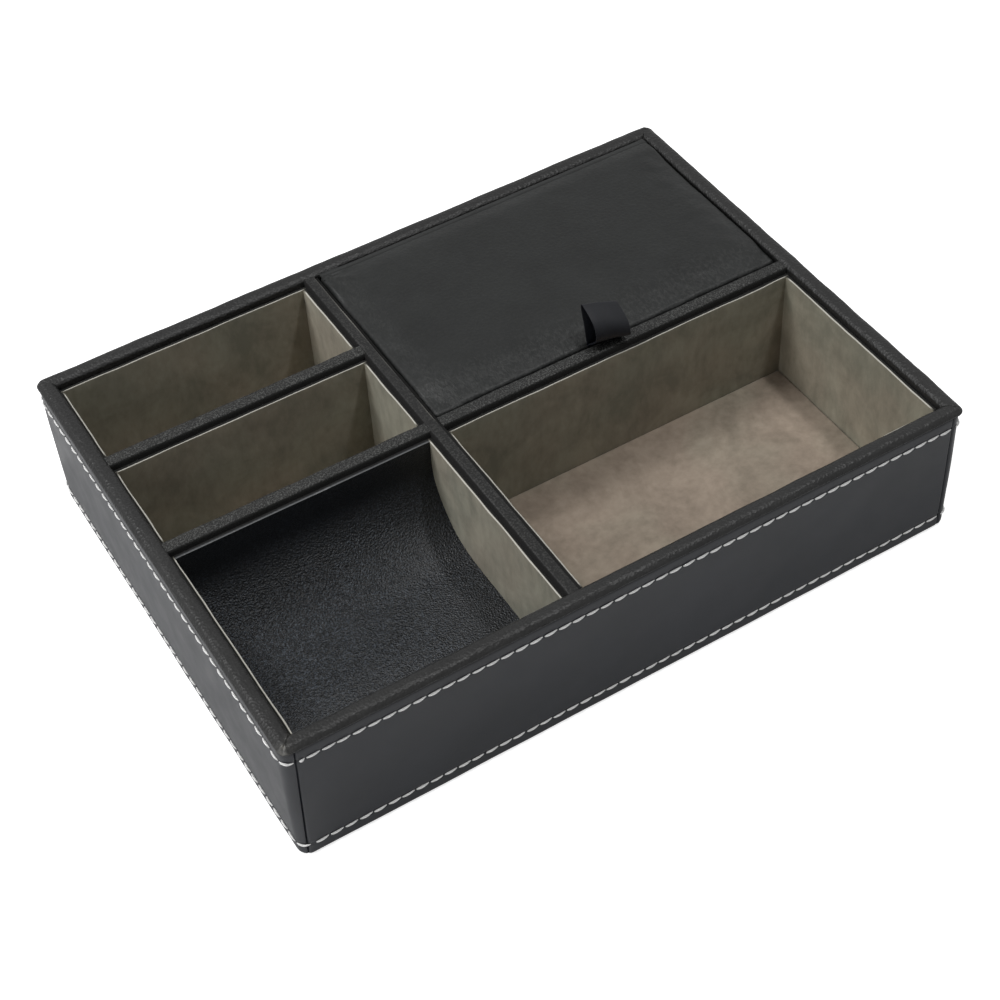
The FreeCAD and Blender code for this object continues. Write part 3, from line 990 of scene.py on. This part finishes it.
@dataclass
class Linings:
    """The suede-covered cards of one compartment: four walls and a floor pad."""

    bay: str
    edge: float = 0.22
    line_along_x: float = 0.40
    line_along_y: float = 0.58
    pad_radius: float = 1.2

    def card(self, node: str, name: str, inner: int) -> None:
        """Makes a wall card: a rounded oblong carried along the wall, softly uneven inside, its top edge pale on the
        inner side and painted with shade on the rest.

        Args:
            node: The CAD node whose place it takes.
            name: The piece's name.
            inner: Which way the compartment lies along the card's thickness, 1 or -1.
        """
        low, high = box_mm(node)
        a, b = (0, 1) if high[0] - low[0] > high[1] - low[1] else (1, 0)
        thick, seed = high[b] - low[b], sum(node.encode())
        loop = rounded_loop([
            (0.0, low[2], 0.3, 2.4), (0.0, high[2], 0.35, 0.12), (thick, high[2], 0.3, 2.0), (thick, low[2], 0.3, 0.5)])
        if inner < 0:
            loop = loop * [-1, 1] + [thick, 0]
        run, across, level = sweep(spaced((low[a], 1), (high[a], 2.2)), loop)
        inward = across if inner > 0 else thick - across
        ends = np.minimum(run - low[a], high[a] - run)
        soft = unit(inward / thick) * unit(ends / 4) * unit((level - low[2]) / 6)
        puff = soft * inner * (0.14 * ripple(run, level, 30, seed) + 0.06 * ripple(run, level, 9, seed + 1))
        dip = 0.10 * ripple(run, level * 0, 22, seed + 2) * unit((level - high[2] + 3) / 3)
        bare = thick - (self.line_along_x if a == 0 else self.line_along_y)
        crest = unit((level - high[2] + self.edge) / 0.15)
        near = unit((inward - bare) / 0.12) * unit((ends - bare * (a == 0)) / 0.1)
        grid = along_wall(a == 1, run, low[b] + across + puff, level + dip)
        # The shade mark paints the rest of the card's top edge near-black, for the shade in the crevice beside the
        # leather.
        settle(tube(name, grid, {"edge": crest * near, "shade": crest * (1 - near)}), Finish.LINING, CASE, node)

    def pad(self) -> None:
        """Makes the floor pad: a flat cushion whose upper edges roll down, with a soft unevenness."""
        node = f"{self.bay}_floor_pad"
        low, high = box_mm(node)
        cushion = Cushion(low[0], high[0], low[1], high[1], high[2], low[2], self.pad_radius)
        top, flat = cushion.top(2.6)
        x, y, seed = top[..., 0], top[..., 1], sum(node.encode())
        top[..., 2] += (0.22 * ripple(x, y, 30, seed) + 0.10 * ripple(x, y, 9, seed) - 0.1) * flat
        piece = shell(f"{self.bay}_suede_floor", top, cushion.underside(top))
        settle(piece, Finish.FLOOR_LINING, CASE, node)

    def build(self) -> None:
        """Makes the four cards and the pad."""
        for side, inner in (("front", 1), ("back", -1), ("left", 1), ("right", -1)):
            self.card(f"{self.bay}_{side}_lining", f"{self.bay}_{side}_suede", inner)
        self.pad()


@dataclass
class Cushion:
    """A flat padded form over an oblong plan, its upper edges and corners rolled down by one radius."""

    x0: float
    x1: float
    y0: float
    y1: float
    top_z: float
    bottom_z: float
    radius: float

    def axis(self, low: float, high: float, step: float) -> Array:
        """Positions along one axis: even steps between the rolled edges, with equal turns round each of them.

        Args:
            low: Where the form starts.
            high: Where it ends.
            step: Spacing on the flat.

        Returns:
            The rising positions.
        """
        roll = self.radius * np.sin(np.linspace(0, np.pi / 2, 9))
        low, high = low + self.radius, high - self.radius
        return np.concatenate([(low - roll)[::-1], spaced((low, 1), (high, step))[1:-1], high + roll])

    def top(self, step: float) -> tuple[Array, Array]:
        """The upper face and its rolled edges, down to where they stand upright.

        Height is the top less radius times one minus the root of one minus the share of the radius past the
        flat, squared. In the corners that share is mapped from a square to a disc.

        Args:
            step: Spacing of the points on the flat.

        Returns:
            The grid of points and, for each, 1 on the flat falling to 0 at the edge.
        """
        xs, ys = self.axis(self.x0, self.x1, step), self.axis(self.y0, self.y1, step)
        x, y = np.meshgrid(xs, ys, indexing="ij")
        r = self.radius
        over_x = np.where(x < self.x0 + r, x - self.x0 - r, np.maximum(x - self.x1 + r, 0)) / r
        over_y = np.where(y < self.y0 + r, y - self.y0 - r, np.maximum(y - self.y1 + r, 0)) / r
        disc_x, disc_y = over_x * np.sqrt(1 - over_y**2 / 2), over_y * np.sqrt(1 - over_x**2 / 2)
        far = np.minimum(np.hypot(disc_x, disc_y), 1)
        z = self.top_z - r * (1 - np.sqrt(1 - far**2))
        return np.stack([x + (disc_x - over_x) * r, y + (disc_y - over_y) * r, z], axis=-1), 1 - far

    def underside(self, top: Array) -> Array:
        """The lower face for an upper one: the same plan, drawn down to the bottom at the first ring in.

        Args:
            top: The upper face's grid.

        Returns:
            A grid of the same shape with the same border.
        """
        under = top.copy()
        under[1:-1, 1:-1, 2] = self.bottom_z
        under[[1, -2], 1:-1, :2] = top[[0, -1], 1:-1, :2]
        under[1:-1, [1, -2], :2] = top[1:-1, [0, -1], :2]
        return under


@dataclass
class Cradle:
    """The curved bed for a watch or glasses: one sheet of pebbled leather on bent card between two suede cheeks."""

    x0: float = -125.0
    x1: float = -27.8
    front: float = -89.9
    back: float = -5.3
    floor: float = 16.5
    radius: float = 28.0
    top: float = 55.0
    skin: float = 0.8

    def section(self, offset: float) -> Array:
        """The curve of the bed from its front top to its back top: down, a quarter circle, a short flat, and up.

        Args:
            offset: Distance outside the leather's upper face.

        Returns:
            Points of Y and Z in order.
        """
        centre_z = self.floor + self.radius
        y_front, y_back = self.front + self.radius, self.back - self.radius
        r = self.radius + offset
        turn = np.radians(np.linspace(0, 90, 34))
        levels = np.concatenate([self.top - np.array([0, 0.12, 0.3]), np.linspace(self.top - 1.4, centre_z, 8)[:-1]])
        down = np.stack([np.full(len(levels), y_front - r), levels], axis=1)
        bend = np.stack([y_front - r * np.cos(turn), centre_z - r * np.sin(turn)], axis=1)
        flat = np.stack([np.linspace(y_front, y_back, 20)[1:-1], np.full(18, centre_z - r)], axis=1)
        first = np.concatenate([down, bend])
        return np.concatenate([first, flat, (first * [-1, 1] + [y_front + y_back, 0])[::-1]])

    def bed(self) -> None:
        """Makes the sheet: the section's inner and outer curves joined, carried along the bed with slow waves."""
        inner, outer = self.section(0.0), self.section(self.skin)
        loop = np.concatenate([inner, outer[::-1]])
        run, y, z = sweep(spaced((self.x0, 1), (self.x1, 1.4)), loop)
        up = np.repeat([1.0, 0.0], len(inner))
        along = np.concatenate([np.linspace(0, 1, len(inner)), np.linspace(1, 0, len(outer))])
        wave = up * (0.20 * ripple(run, along * 150, 40, 71) + 0.08 * ripple(run, along * 150, 12, 72))
        wave *= np.sin(np.pi * along) ** 0.3
        grid = np.stack([run, *pushed_out(loop, wave)], axis=-1)
        # Painted shade: the smooth mark thins the painted glints and flattens the pebbles on the upper back wall,
        # towards the front and towards the right end.
        back_wall = 0.75 * (unit((z - 26) / 18) * unit((y - self.back + 34) / 14))
        shaded = np.maximum(0.62 * unit((-50 - y) / 22), 0.50 * unit((run + 64) / 24))
        cut = unit((z - self.top + 0.1) / 0.05) * up * (y > (self.front + self.back) / 2)
        piece = tube("cradle_leather_bed", grid, {"smooth": np.maximum(back_wall, shaded), "cut": cut})
        settle(piece, Finish.CRADLE, CASE, "cradle_leather")

    def build(self) -> None:
        """Makes the bed and its cheeks, and dresses the card and ribs under it."""
        self.bed()
        for side, inner in (("left", 1), ("right", -1)):
            Linings("cradle").card(f"cradle_{side}_cheek", f"cradle_{side}_suede", inner)
        Finish.DARK_CARD.dress_nodes("cradle_card")
        Finish.CARD.dress_nodes("cradle_left_rib", "cradle_right_rib")


@dataclass
class Lid:
    """The padded lid: leather over foam and board, with its suede underside, hinge strip and pull ribbon."""

    x0: float = -20.5
    x1: float = 126.0
    y0: float = 2.7
    y1: float = 90.3
    front: float = 3.4
    bottom: float = 51.2
    top: float = 59.5
    roll: float = 1.6
    slopes: tuple[Pair, ...] = ((2.3, 15.0), (1.3, 9.0), (2.3, 13.0), (1.8, 10.0))
    deepest: float = 2.6
    ribbon_x: float = 49.5
    ribbon_width: float = 13.5
    ribbon_thick: float = 0.35

    def crown(self, x: Array, y: Array, free: Array | float) -> Array:
        """How far the cover's upper face is from level: it falls towards each edge, with puffs, waves and puckers.

        An edge's fall is half its drop times one minus a smooth step of the share of its reach, and half its
        drop times one minus that share, squared. The side edges fall less towards the hinge.

        Args:
            x: Distance along the lid.
            y: Distance across it, same shape.
            free: 1 where the leather may wave, falling to 0 at the rolled edges.

        Returns:
            Height to add at each point.
        """
        front, back, left, right = edges = (y - self.y0, self.y1 - y, x - self.x0, self.x1 - x)
        hinged = 0.12 + 0.88 * unit((back - 2) / 15) ** 1.5
        slope = 0.0 * x
        for (drop, reach), edge, share in zip(self.slopes, edges, (1.0, 1.0, hinged, hinged)):
            t = unit(edge / reach)
            slope = slope - share * drop * ((1 - ease(t)) * 0.5 + 0.5 * (1 - t) ** 2)
        near = np.minimum(np.minimum(front, back + 6), np.minimum(left, right))
        puffs = (hump(near - 7, 7) * 0.26 * ripple(x, y, 13, 81) + 0.09 * ripple(x, y * 1.7, 6, 82) * hump(near - 5, 8)
                 + 0.22 * ripple(x, y, 46, 83)) * unit((back - 2) / 6)
        fan = np.arctan2(np.maximum(back - 1.0, 0.0), left + 0.5)
        pucker = 0.42 * np.cos(fan * 9 - 0.6) * hump(np.hypot(left, back) - 6, 6) * unit(back / 3)
        return np.maximum(slope, -self.deepest) + (puffs + pucker) * free

    def cover(self) -> None:
        """Makes the leather cover: a crowned cushion with rolled edges, shallow puckers, and a turned-under hem."""
        cushion = Cushion(self.x0, self.x1, self.y0, self.y1, self.top, self.bottom, self.roll)
        top, flat = cushion.top(1.5)
        x, y = top[..., 0], top[..., 1]
        top[..., 2] += self.crown(x, y, unit(flat * 3))
        # Painted highlight: the mark is strongest along the front and left edges, where the pale streaks stand in for
        # light on the slopes; it also raises the wrinkles.
        crinkle = unit(hump(y - self.y0 - 6, 8) + 0.4 * hump(x - self.x0 - 6, 5) + 0.15)
        piece = shell("lid_padded_cover", top, cushion.underside(top), {"crinkle": crinkle}, crease=60)
        settle(piece, Finish.LID_COVER, LID, "lid_cover_leather", "lid_foam_pad")

    def lining(self) -> None:
        """Makes the suede sheet under the lid: a thin cushion turned to face down."""
        low, high = box_mm("lid_lining")
        sheet = Cushion(low[0], high[0], low[1], high[1], -low[2], -high[2], 0.3)
        top, flat = sheet.top(2.4)
        top[..., 2] += 0.08 * ripple(top[..., 0], top[..., 1], 26, 91) * flat
        piece = shell("lid_suede_underside", top * [1, 1, -1], sheet.underside(top) * [1, 1, -1])
        settle(piece, Finish.FLOOR_LINING, LID, "lid_lining")

    def hinge(self) -> None:
        """Makes the hinge: a flap that lies flush on the lid, dips into a crease along the wall, and runs down it."""
        back, flap = WIDTH / 2 - WALL, 57
        upper, lower = (smooth_through(np.array(knots) + [back, 0], 41) for knots in (
            [(-4.6, 58.50), (-3.5, 58.73), (-2.3, 58.60), (-1.3, 58.32), (-0.75, 57.85),
             (-0.45, 57.20), (-0.25, 56.3), (-0.05, 55.0), (-0.05, 51.2)],
            [(-4.5, 58.15), (-3.5, 58.28), (-2.3, 58.12), (-1.6, 57.85), (-1.2, 57.35),
             (-0.9, 56.6), (-0.7, 55.6), (-0.5, 54.4), (-0.5, 51.2)]))
        loop = np.concatenate([upper, lower[::-1]])
        s = spaced((self.x0 + 0.3, 1), (self.x1 - 0.5, 1.6))
        run, y, z = sweep(s, loop)
        lap = 1 - ease(unit(np.minimum(run - s[0] - 1.0, s[-1] - run + 6) / 15))
        fill = np.repeat([1.0, 0.0], len(upper)) * hump(y - back + 0.35, 0.55) * (z > 56.0)
        on_lid = unit((back - 1.1 - y) / 1.4) * (z > flap)
        level = self.crown(run, y, 1.0) - self.crown(0 * run + 50, y, 0.0)
        z = z + lap * fill * 0.9 + on_lid * level + 0.05 * ripple(run, y * 0, 15, 95) * (z > flap)
        piece = tube("lid_hinge_strip", np.stack([run, y, z], axis=-1))
        settle(piece, Finish.LID_COVER, None, "hinge_wall_leg", "hinge_lid_leg")
        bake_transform(piece)

    def ribbon(self) -> None:
        """Makes the pull ribbon: a thin outline that follows a leaning loop, carried across the ribbon's width."""
        front, half, wide = self.front, self.ribbon_thick / 2, self.ribbon_width / 2
        rise, bulge, lean, foot, sewn = 15.5, 6.4, 3.2, 51.7, 57.2
        peak = HEIGHT + rise
        inner, outer = front - half, front - half - 0.45
        curve = smooth_through(np.array([
            (inner, foot), (inner, sewn), (front + lean / 2, HEIGHT + rise / 2), (front + lean, peak - rise / 16),
            (front + lean / 2, peak), (front - bulge * 0.75, peak - rise / 4), (front - bulge, HEIGHT + rise * 0.4),
            (front - bulge * 0.6, HEIGHT + rise / 7), (outer, sewn), (outer, foot)]), 90)
        along = np.gradient(curve, axis=0)
        across = np.stack([-along[:, 1], along[:, 0]], axis=1)
        across /= np.linalg.norm(across, axis=1, keepdims=True)
        loop = np.concatenate([curve + across * half, (curve - across * half)[::-1]])
        run, y, z = sweep(np.linspace(self.ribbon_x - wide, self.ribbon_x + wide, 25), loop)
        free, middle = unit((z - sewn) / 8), (run - self.ribbon_x) / wide
        y = y + free * (-0.8 - 1.0 * middle + 0.15 * ripple(run, z, 12, 97))
        z = z + free * (-1.2 - 1.8 * middle - 0.25 * middle**2)
        settle(tube("lid_ribbon_loop", np.stack([run, y, z], axis=-1)), Finish.RIBBON, LID, "lid_pull_ribbon")

    def build(self) -> None:
        """Makes the lid's pieces and dresses its board and foam."""
        self.cover()
        self.lining()
        self.hinge()
        self.ribbon()
        Finish.WOOD_BOARD.dress_nodes("lid_board")
        Finish.FOAM.dress_nodes("lid_foam_pad")


# ---------------------------------------------------------------- floor, light and camera


@dataclass(frozen=True)
class Lamp:
    """One soft square lamp: where it hangs, what it points at, its side and its power."""

    name: str
    place: Point
    aim: Point
    size: float
    power: float

    def build(self) -> None:
        """Hangs the lamp in the scene."""
        light = bpy.data.lights.new(self.name, "AREA")
        light.size, light.energy = self.size, self.power
        lamp = bpy.data.objects.new(self.name, light)
        bpy.context.scene.collection.objects.link(lamp)
        toward = Vector(self.place) - Vector(self.aim)
        lamp.location = self.place
        lamp.rotation_euler = toward.to_track_quat("Z", "Y").to_euler()


@dataclass
class Studio:
    """A pale floor, a white room, soft lamps and the camera."""

    target: Point = (-0.008577, -0.018069, 0.025)
    yaw: float = -28.41
    pitch: float = 47.38
    roll: float = -3.89
    distance: float = 0.71891
    lens: float = 72.51
    sensor: float = 36.0
    clip: Pair = (0.01, 50.0)
    ambient: float = 0.18
    floor_half: float = 12000.0
    floor_level: float = -0.05
    floor_paint: Colour = (0.86, 0.86, 0.86)
    floor_glow: float = 0.80
    lamps: tuple[Lamp, ...] = (
        Lamp("overhead_lamp", (0.34, -0.22, 1.25), (0.0, 0.0, 0.03), 0.10, 4.6),
        Lamp("key_lamp", (-0.50, 0.35, 1.10), (0.0, 0.0, 0.03), 0.36, 5.8),
        Lamp("left_lamp", (-1.10, 0.05, 0.64), (0.0, 0.0, 0.03), 0.50, 5.0),
        Lamp("low_front_lamp", (-0.75, -1.15, 0.08), (0.0, -0.08, 0.03), 0.14, 1.9))

    def camera(self) -> None:
        """Sets the camera on its sphere round the target, rolled about its own axis."""
        turns = ((self.yaw, "Z"), (90 - self.pitch, "X"), (self.roll, "Z"))
        yaw, tilt, roll = (Matrix.Rotation(math.radians(angle), 4, axis) for angle, axis in turns)
        data = bpy.data.cameras.new("camera")
        data.lens, data.sensor_width = self.lens, self.sensor
        data.clip_start, data.clip_end = self.clip
        eye = bpy.data.objects.new("camera", data)
        bpy.context.scene.collection.objects.link(eye)
        away = Matrix.Translation((0, 0, self.distance))
        eye.matrix_world = Matrix.Translation(self.target) @ yaw @ tilt @ roll @ away
        bpy.context.scene.camera = eye

    def floor(self) -> None:
        """Lays a wide pale floor that the camera sees as white, darker only where the tray shades it."""
        far, level = self.floor_half, self.floor_level
        corners = np.array([(-far, -far, level), (far, -far, level), (far, far, level), (-far, far, level)])
        piece = make_piece("studio_floor", corners, [[0, 1, 2, 3]])
        material = bpy.data.materials.new("pale_floor")
        n = Nodes(material, "OutputMaterial")
        paint = n.add("BsdfDiffuse", {"Color": self.floor_paint})
        seen = n.add("LightPath", {}).outputs["Is Camera Ray"]
        glow = n.add("Emission", {"Strength": n.sum("MULTIPLY", seen, self.floor_glow)})
        total = n.add("AddShader", {0: paint.outputs["BSDF"], 1: glow.outputs["Emission"]})
        n.put(n.surface, total.outputs["Shader"])
        piece.data.materials.append(material)

    def room(self) -> None:
        """Sets a white world: full white to the camera and in reflections, soft in what it sheds on the tray."""
        world = bpy.data.worlds.new("white_room")
        bpy.context.scene.world = world
        n = Nodes(world, "OutputWorld")
        rays = n.add("LightPath", {}).outputs
        seen = n.sum("MAXIMUM", rays["Is Camera Ray"], rays["Is Glossy Ray"])
        seen = n.sum("MAXIMUM", seen, rays["Is Transmission Ray"])
        glow = n.add("Background", {"Strength": n.remap(seen, 0.0, 1.0, self.ambient, 1.0)})
        n.put(n.surface, glow.outputs["Background"])

    def build(self) -> None:
        """Sets up the whole studio."""
        self.camera()
        self.floor()
        self.room()
        for lamp in self.lamps:
            lamp.build()
        bpy.context.scene.view_settings.view_transform = "Standard"
        LOG.info("studio: floor, room, %d lamps and camera", len(self.lamps))


def main() -> None:
    """Builds the studio and the tray's sub-assemblies in order."""
    logging.basicConfig(level=logging.INFO, format="%(name)s: %(message)s")
    Studio().build()
    Case().build()
    Divider("long_divider", along_y=True, lean=0.9).leather()
    for bay in ("lid", "cradle", "slot"):
        Divider(f"{bay}_divider").leather()
    for bay in ("tray", "back_slot", "front_slot", "lid_bay"):
        Linings(bay).build()
    Cradle().build()
    Lid().build()


if __name__ == "__main__":
    main()
